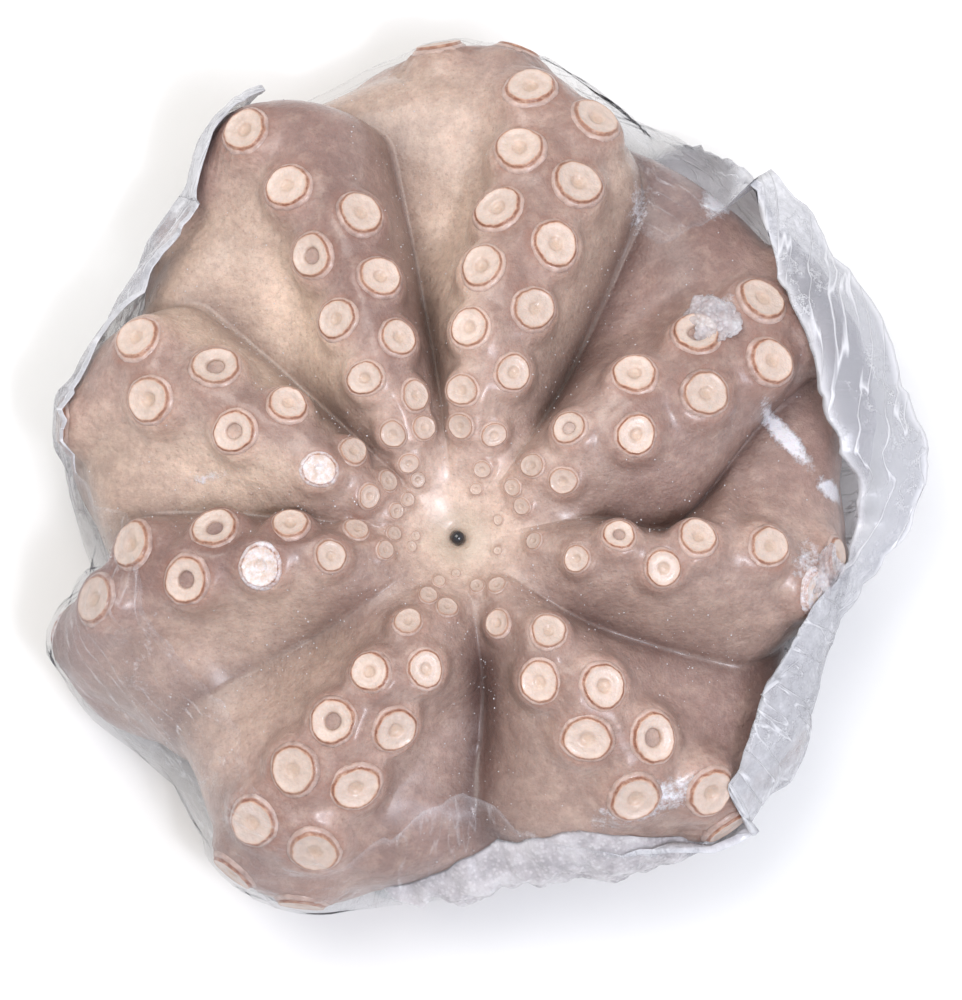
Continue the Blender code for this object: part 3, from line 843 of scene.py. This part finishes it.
# Film: the clear wrap. Its first rings turn outward as a lip; the others follow the flesh down and under.
film = dict(
    columns=400,
    rings=110,
    lipRings=30,
    thickness=0.00016,
    clearance=0.0007,
    sag=0.5,
    wrinkle=0.0009,
    lowest=0.0004,
    below=0.0001,  # at least this far under the top of the solids' box
    lipStart=0.006,  # a lip at least this wide lifts the film off the folds
    lipDroop=0.010,
    lipArch=0.003,  # for a lip of the width below
    lipWide=0.03,
    lipRidge=0.0005,
    lipCrease=0.0002,
    edgeWander=0.0035,
    lipWander=0.0010,
    hold=(0.56, 1.12, 1.95),  # the film over a sucker, as raiseMounds takes it
    # bearing and how much the wrinkles there run along the rim, over a half, or out over it
    taut=((0, 0.2), (60, 0.9), (100, 0.8), (200, 0.9), (240, 0.9), (262, 0.3), (300, 0.1)),
    # bearing, path of the edge, width of its lip, height that the lip ends at, slack, frost, hem
    edge=(
        (0.5, 0.1390, 0.020, 0.040, 0.001, 0.30, 1.0),
        (9.5, 0.1255, 0.031, 0.042, 0.001, 0.25, 1.0),
        (16, 0.1200, 0.032, 0.042, 0.001, 0.25, 1.0),
        (24, 0.1185, 0.030, 0.042, 0.001, 0.28, 1.0),
        (34.5, 0.1230, 0.026, 0.042, 0.001, 0.35, 1.0),
        (42.5, 0.1285, 0.020, 0.043, 0.001, 0.55, 1.0),
        (50.5, 0.1350, 0.012, 0.045, 0.004, 0.60, 1.0),
        (56, 0.118, 0.000, 0.045, 0.003, 0.30, 0.2),
        (60, 0.108, 0.000, 0.045, 0.003, 0.28, 0.1),
        (67, 0.104, 0.000, 0.045, 0.002, 0.26, 0.1),
        (76, 0.118, 0.000, 0.045, 0.002, 0.15, 0.1),
        (84, 0.150, 0.000, 0.045, 0.001, 0.15, 0.2),
        (110, 0.162, 0.000, 0.045, 0.000, 0.15, 0.2),
        (118, 0.155, 0.000, 0.044, 0.0003, 0.30, 0.1),
        (127, 0.138, 0.004, 0.040, 0.0005, 0.55, 0.7),
        (136, 0.134, 0.005, 0.041, 0.0005, 0.60, 0.8),
        (147, 0.134, 0.002, 0.043, 0.0005, 0.55, 0.8),
        (155, 0.132, 0.003, 0.043, 0.0005, 0.55, 0.8),
        (165, 0.132, 0.002, 0.042, 0.0005, 0.55, 0.8),
        (173, 0.134, 0.002, 0.042, 0.0005, 0.50, 0.8),
        (181, 0.136, 0.001, 0.042, 0.0005, 0.45, 0.6),
        (188, 0.132, 0.000, 0.042, 0.0005, 0.25, 0.4),
        (198, 0.115, 0.000, 0.042, 0.001, 0.28, 0.1),
        (212, 0.108, 0.000, 0.042, 0.001, 0.28, 0.1),
        (228, 0.106, 0.000, 0.042, 0.001, 0.28, 0.1),
        (243, 0.114, 0.000, 0.042, 0.001, 0.22, 0.1),
        (255, 0.128, 0.000, 0.042, 0.001, 0.10, 0.3),
        (262, 0.119, 0.000, 0.042, 0.001, 0.03, 0.5),
        (268, 0.109, 0.000, 0.042, 0.001, 0.03, 0.6),
        (274, 0.105, 0.000, 0.042, 0.001, 0.03, 0.6),
        (280, 0.110, 0.000, 0.042, 0.001, 0.03, 0.5),
        (287, 0.122, 0.000, 0.042, 0.001, 0.10, 0.3),
        (295, 0.130, 0.000, 0.042, 0.001, 0.30, 0.3),
        (303, 0.135, 0.002, 0.040, 0.003, 0.60, 0.4),
        (310, 0.150, 0.003, 0.036, 0.002, 0.65, 0.6),
        (322, 0.126, 0.010, 0.036, 0.001, 0.50, 0.6),
        (333, 0.119, 0.018, 0.036, 0.001, 0.50, 0.5),
        (343, 0.125, 0.010, 0.036, 0.001, 0.50, 0.6),
        (348, 0.134, 0.009, 0.036, 0.001, 0.50, 0.6),
        (351, 0.142, 0.012, 0.038, 0.001, 0.45, 0.9),
        (356, 0.145, 0.018, 0.038, 0.001, 0.35, 1.0),
    ),
)


def makeFilmMaterial():
    made, tree, shader = startMaterial("film", Roughness=0.22, IOR=1.6)
    grainwise = layer(tree, "grainwise", "Vector")
    veil = layer(tree, "veil")
    # thin bright lines where the film is creased, painted highlight streaks that also raise the creases as
    # bumps: long ones along its grain, and short ones anyhow
    lines = calc(tree, "ABSOLUTE", calc(tree, "SUBTRACT", cloud(tree, 1.0, 2.5, 0.5, at=grainwise), 0.5))
    lines = remap(tree, lines, 0.0, 0.022, 1.0, 0.0)
    crackle = calc(tree, "ABSOLUTE", calc(tree, "SUBTRACT", cloud(tree, 75.0, 5.0, 0.65), 0.5))
    crackle = remap(tree, crackle, 0.0, 0.022, 1.0, 0.0)
    patches = remap(tree, cloud(tree, 32.0, 3.0), 0.48, 0.62)
    ridgeAndHighlight = calc(tree, "MAXIMUM", lines, times(tree, crackle, patches))
    frosty = remap(tree, plus(tree, layer(tree, "frost"), cloud(tree, 130.0, 6.0, 0.72)), 0.90, 1.25)
    # what is seen through both faces of the film
    cover = plus(tree, 0.03, times(tree, veil, 0.72))
    # the painted highlight streaks also make the film less clear
    cover = plus(tree, cover, times(tree, ridgeAndHighlight, remap(tree, veil, 0.0, 0.5, 0.12, 0.45)))
    cover = plus(tree, cover, times(tree, frosty, 0.45))
    hem = layer(tree, "hem")
    cover = plus(tree, cover, times(tree, hem, 0.50))
    through = calc(tree, "SUBTRACT", 1.0, remap(tree, cover, 0.0, 0.92, 0.0, 0.92))
    alpha = calc(tree, "SUBTRACT", 1.0, calc(tree, "POWER", through, 0.5))
    tree.links.new(alpha, shader.inputs["Alpha"])
    # the film turns white in its painted highlight streaks, at the hem and in frost
    white = calc(tree, "MAXIMUM", calc(tree, "MAXIMUM", ridgeAndHighlight, hem), frosty)
    tone = blendColours(tree, white, tint(178, 179, 187), tint(240, 240, 245))
    tree.links.new(tone, shader.inputs["Base Color"])
    relief = bump(tree, ridgeAndHighlight, 0.0005, 0.7)
    relief = bump(tree, cloud(tree, 240.0, 4.0, 0.6), 0.0006, 0.4, relief)
    tree.links.new(relief, shader.inputs["Normal"])
    return made


def filmSurface(column, path, sag=film["sag"]):
    # bridges the folds: the less sag, the straighter
    arm, side, theta, halfWidth = sector(column, path)
    points, radius = bun(theta, path)
    height = 1 - (1 - arch(side, radius * np.radians(halfWidth), softness(arm, side, path))) * sag
    floor = -foldFloor(path) * ofFold(foldDepths, arm, side)
    relief = floor + (crestHeight(path) - floor) * height
    relief -= 0.5 * block["headGroove"] * bell((radius - block["headRadius"]) / 0.006) * (path > rimPath)
    relief += flesh["lump"] * grain(points, 1 / flesh["lumpSize"])
    return points, bunNormal(theta, path), relief, theta


def roundNoise(turned, scale, offset):
    # noise that closes on itself round the circle
    return np.array([noise.noise(Vector((scale * math.cos(t), scale * math.sin(t), offset))) for t in turned])


def makeFilm():
    rings, lipRings = film["rings"], film["lipRings"]
    bm, column, share = sphereGrid(film["columns"], rings + 1)
    number = np.round(share * (rings + 1))
    # out is 0 where the film leaves the flesh and 1 at its edge; down is 1 under the middle of the base
    out = np.clip((lipRings - number) / (lipRings - 1), 0, 1)
    down = np.clip((number - lipRings) / (rings - lipRings), 0, 1)
    theta = sector(column, np.full(len(column), rimPath))[2]
    bearings, *values = np.array(film["edge"]).T
    edge, width, lipZ, slack, frost, hem = (around(bearings, value, theta) for value in values)
    turned = np.radians(theta)
    flutter = roundNoise(turned, 9, 3.0) + 0.5 * roundNoise(turned, 26, 7.0)
    lipped = ease(width / film["lipStart"])
    edge += film["edgeWander"] * flutter * (1 - 0.6 * lipped)
    path = edge + (endPath - edge) * down
    points, normals, relief, theta = filmSurface(column, path, film["sag"] * (1 - 0.85 * lipped))
    angle = np.radians(theta)
    # the grain of the wrinkles: out over the rim at the lower right, along the rim elsewhere and on the lip
    radial = np.stack((np.cos(angle) * 20, np.sin(angle) * 20, path * 26), -1)
    hoops = np.stack((np.cos(angle) * 3.2, np.sin(angle) * 3.2, path * 230), -1)
    across = out * width
    apart = np.full(len(turned), 5.0)
    lengthwise = np.stack((turned * 1.3 + across * 14, across * 95 - turned * 5.0, apart), -1)
    taut = around(*np.array(film["taut"]).T, theta)
    grainwise = np.where((taut > 0.5)[:, None], hoops, radial)
    grainwise = np.where((number < lipRings)[:, None] & (lipped > 0.3)[:, None], lengthwise, grainwise)
    ridged = np.array([1 - 2 * abs(noise.noise(Vector(p))) for p in grainwise])
    small = np.array([noise.noise(Vector(p) * 2.7) for p in grainwise])
    slack = slack * ease((rimPath + 0.04 - path) / 0.04)
    relief += film["clearance"] + slack * (0.5 + 0.5 * ridged)
    relief += film["wrinkle"] * (0.5 + 120 * slack) * (0.5 * ridged + 0.4 * small + 0.3) * (1 - out)
    points = points + normals * relief[:, None]
    points = raiseMounds(points, column, *film["hold"])
    # the lip goes outward and down
    reach = across + film["lipWander"] * flutter * out * lipped
    points[:, 0] += reach * np.cos(angle)
    points[:, 1] += reach * np.sin(angle)
    points[:, 2] += (lipZ - points[:, 2]) * out**1.3 * ease(width / film["lipDroop"])
    points[:, 2] += film["lipArch"] * np.sin(math.pi * out) * width / film["lipWide"]
    points[:, 2] += (film["lipRidge"] * ridged + film["lipCrease"] * small) * ease(across / 0.006)
    points[:, 2] = np.clip(points[:, 2], film["lowest"], cadBox[1][2] - film["below"])
    moveTo(bm, points)
    hemmed = hem * np.maximum(bell((1 - out) / 0.09), bell(out / 0.11)) * lipped
    hemmed += 0.7 * hem * (1 - lipped) * bell((path - edge) / 0.0018)
    veil = out**0.3 * lipped + (1 - lipped) * (0.01 + 0.45 * frost) * ease((path - edge) / 0.02)
    veil = np.maximum(veil, np.where(number < lipRings, 1.0, 0.5) * ease((frost - 0.2) / 0.4) * 0.8)
    frost = frost * np.where(number < lipRings, 1.0, 1 - 0.6 * ease((path - rimPath) / 0.05))
    grainwise = np.column_stack((grainwise, np.ones(len(path))))
    layers = dict(grainwise=grainwise, hem=hemmed, frost=frost, veil=veil)
    kept = share > 1e-4
    layers = {key: values[kept] for key, values in layers.items()}
    bmesh.ops.delete(bm, geom=[v for v, s in zip(bm.verts, share) if s < 1e-4], context="VERTS")
    piece = addPiece("film", bm, makeFilmMaterial(), "wrap", layers)
    shell = piece.modifiers.new("thickness", "SOLIDIFY")
    shell.thickness = film["thickness"]
    shell.offset = 1.0


makeFilm()
print("film made")

# Ice: a crust along the rim, lumps on a few suckers, and frozen beads of glaze
ice = dict(
    # bearing and path of the crust's inner edge
    crustIn=((258, 0.151), (266, 0.146), (275, 0.139), (283, 0.134), (290, 0.128), (297, 0.124),
             (303, 0.130), (308, 0.148)),
    crustOut=0.164,
    crustBase=0.0016,
    crustRise=0.0038,
    crustWander=0.004,
    crustThickness=0.0006,
    crustUnder=0.0004,  # how far its inner edge lies under the skin
    lumpSize=1.15,  # this and the next two are in sucker radii
    lumpForm=(0.85, 1.0, 0.42),
    lumpShift=(0.70, 0.75, 0.05),
    lumpCover=0.45,
    beads=1100,
    beadSmall=0.00013,
    beadLarge=0.00034,
)


def makeIceMaterial():
    made, tree, shader = startMaterial(
        "ice", IOR=1.31, Coat_Weight=0.3, Coat_Roughness=0.2,
        Subsurface_Weight=0.7, Subsurface_Scale=0.005, Subsurface_Radius=(0.9, 1.0, 1.0),
    )
    place = addNode(tree, "TexCoord").outputs["Object"]
    bubbles = addNode(tree, "TexVoronoi", {"Vector": place, "Scale": 620.0}, feature="F1").outputs["Distance"]
    bubbles = remap(tree, bubbles, 0.15, 0.5, 1.0, 0.0)
    cloudy = plus(tree, cloud(tree, 85.0, 5.0, 0.65), times(tree, bubbles, 0.12))
    tone = ramp(tree, cloudy, (
        (0.34, (186, 182, 188)),
        (0.50, (206, 203, 209)),
        (0.66, (226, 225, 231)),
    ))
    tree.links.new(tone, shader.inputs["Base Color"])
    tree.links.new(remap(tree, cloudy, 0.3, 0.7, 0.20, 0.45), shader.inputs["Roughness"])
    solid = remap(tree, plus(tree, cloudy, layer(tree, "cover")), 0.62, 1.55)
    tree.links.new(solid, shader.inputs["Alpha"])
    relief = bump(tree, bubbles, 0.0003, 0.5)
    relief = bump(tree, cloud(tree, 260.0, 6.0, 0.7), 0.0005, 0.6, relief)
    tree.links.new(relief, shader.inputs["Normal"])
    return made


iceFinish = makeIceMaterial()


def makeCrust():
    bm = bmesh.new()
    bmesh.ops.create_grid(bm, x_segments=200, y_segments=70, size=1.0)
    at = np.array([v.co for v in bm.verts])
    u = (at[:, 0] + 1) / 2
    v = (at[:, 1] + 1) / 2
    # the grid's bearing is turned into a column of the same bearing at the rim
    dense = np.linspace(0, 8, 4001)[:-1]
    bearingOf = np.mod(sector(dense, np.full(len(dense), rimPath))[2], 360)
    order = np.argsort(bearingOf)
    bearings, starts = np.array(ice["crustIn"]).T
    wanted = bearings[0] + (bearings[-1] - bearings[0]) * u
    column = np.interp(wanted, bearingOf[order], dense[order])
    start = np.interp(wanted, bearings, starts)
    start = start + ice["crustWander"] * np.array([noise.noise(Vector((b / 5, 2.0, 0.0))) for b in wanted])
    path = start + (ice["crustOut"] - start) * v
    points, normals, relief, theta = filmSurface(column, path)
    skin = fleshPoints(column, path)
    lumps = grain(points, 70.0) + 0.5 * grain(points, 170.0, 3.0) + 0.2 * grain(points, 430.0, 5.0)
    fade = np.minimum(ease(u / 0.10) * ease((1 - u) / 0.10), ease(v / 0.12) * ease((1 - v) / 0.25))
    rise = ice["crustBase"] * fade + ice["crustRise"] * ((lumps + 0.25) * fade - 0.35 * (1 - fade))
    points = points + normals * (relief + rise)[:, None]
    points += (skin - normals * ice["crustUnder"] - points) * (1 - ease(v / 0.30))[:, None]
    moveTo(bm, points)
    bmesh.ops.recalc_face_normals(bm, faces=bm.faces)
    piece = addPiece("ice_crust", bm, iceFinish, "wrap", dict(cover=ease(fade * 1.6)))
    shell = piece.modifiers.new("thickness", "SOLIDIFY")
    shell.thickness = ice["crustThickness"]
    shell.offset = -1.0


def makeLumps():
    bm = bmesh.new()
    for place in (place for place in suckers if place["iced"]):
        lump = bmesh.ops.create_icosphere(bm, subdivisions=5, radius=1.0)["verts"]
        size = place["radius"] * ice["lumpSize"]
        shift = dice.uniform(-50, 50)
        for vertex in lump:
            rough = 1 + 0.45 * noise.noise(vertex.co * 1.6 + Vector((shift, 0, 0)))
            rough += 0.20 * noise.noise(vertex.co * 5 + Vector((0, shift, 0)))
            vertex.co = Vector([at * share for at, share in zip(vertex.co, ice["lumpForm"])]) * rough * size
        right, up, above = ice["lumpShift"]
        offset = Vector((right, up, mound["height"] + above)) * place["radius"]
        bmesh.ops.transform(bm, matrix=place["stand"] @ Matrix.Translation(offset), verts=lump)
    cover = np.full(len(bm.verts), ice["lumpCover"])
    addPiece("ice_lumps", bm, iceFinish, "octopus", dict(cover=cover))


def makeBeads():
    made, tree, shader = startMaterial("glaze", Roughness=0.05, IOR=1.4, Alpha=0.6)
    shade = ramp(tree, cloud(tree, 300.0), ((0.3, (222, 218, 222)), (0.7, (245, 245, 248))))
    tree.links.new(shade, shader.inputs["Base Color"])
    bm = bmesh.new()
    # nearly half of them gather in the folds
    count = ice["beads"]
    arm = dice.integers(0, 8, count)
    side = np.where(dice.random(count) < 0.45, dice.normal(0.0, 0.10, count), dice.uniform(-1, 1, count))
    column = np.mod(arm + np.where(np.abs(side) < 0.3, side, 0.5 + 0.5 * side), 8)
    path = dice.uniform(0.02, 0.150, count)
    points = fleshPoints(column, path)
    points = raiseMounds(points, column, mound["height"], mound["flat"], mound["reach"])
    clear = ringDistance(points) > 1.15
    for point, size in zip(points[clear], dice.uniform(0, 1, clear.sum()) ** 2.5):
        radius = ice["beadSmall"] + (ice["beadLarge"] - ice["beadSmall"]) * size
        bead = bmesh.ops.create_icosphere(bm, subdivisions=1, radius=radius)["verts"]
        bmesh.ops.translate(bm, verts=bead, vec=Vector(point) + Vector((0, 0, radius * 0.3)))
    addPiece("glaze_beads", bm, made, "octopus")


makeCrust()
makeLumps()
makeBeads()
print("ice made")

# Floor, light and camera
studio = dict(
    floorSize=12.0,
    look=(0.0073, -0.0065, 0.045),
    distance=1.30,
    elevation=80,
    lens=146.25,
    world=0.70,
    # name, place, power, size and colour
    lamps=(
        ("key", (-0.45, 0.45, 1.25), 10.5, 0.9, (1.0, 0.97, 0.93)),
        ("fill", (0.50, -0.45, 1.20), 7.5, 0.50, (0.84, 0.87, 1.0)),
        ("spark", (0.35, -0.45, 1.2), 2.2, 0.08, (0.95, 0.96, 1.0)),
    ),
)


def makeFloor():
    made, tree, shader = startMaterial("backdrop", Roughness=0.7)
    shade = ramp(tree, cloud(tree, 2.0), ((0.3, (233, 233, 233)), (0.7, (235, 235, 235))))
    tree.links.new(shade, shader.inputs["Base Color"])
    bm = bmesh.new()
    bmesh.ops.create_grid(bm, x_segments=1, y_segments=1, size=studio["floorSize"] / 2)
    mesh = bpy.data.meshes.new("floor")
    bm.to_mesh(mesh)
    bm.free()
    mesh.materials.append(made)
    floor = bpy.data.objects.new("floor", mesh)
    floor.location = (0, 0, cadBox[0][2] - 0.0002)
    bpy.context.scene.collection.objects.link(floor)


def addLamp(name, at, power, size, colour):
    light = bpy.data.lights.new(name, "AREA")
    light.energy = power
    light.size = size
    light.color = colour
    lamp = bpy.data.objects.new(name, light)
    lamp.location = at
    lamp.rotation_euler = (Vector((0, 0, 0.04)) - Vector(at)).to_track_quat("-Z", "Y").to_euler()
    bpy.context.scene.collection.objects.link(lamp)


def makeStudio():
    world = bpy.data.worlds.new("studio")
    world.use_nodes = True
    world.node_tree.nodes["Background"].inputs["Color"].default_value = (1, 1, 1, 1)
    world.node_tree.nodes["Background"].inputs["Strength"].default_value = studio["world"]
    bpy.context.scene.world = world
    for lamp in studio["lamps"]:
        addLamp(*lamp)
    lens = bpy.data.cameras.new("camera")
    lens.lens = studio["lens"]
    lens.sensor_width = 36
    lens.clip_start = 0.01
    camera = bpy.data.objects.new("camera", lens)
    lift = math.radians(studio["elevation"])
    back = Vector((0, -math.cos(lift), math.sin(lift)))
    camera.location = Vector(studio["look"]) + back * studio["distance"]
    camera.rotation_euler = back.to_track_quat("Z", "Y").to_euler()
    bpy.context.scene.collection.objects.link(camera)
    bpy.context.scene.camera = camera
    bpy.context.scene.view_settings.view_transform = "Standard"


makeFloor()
makeStudio()
print("studio made")
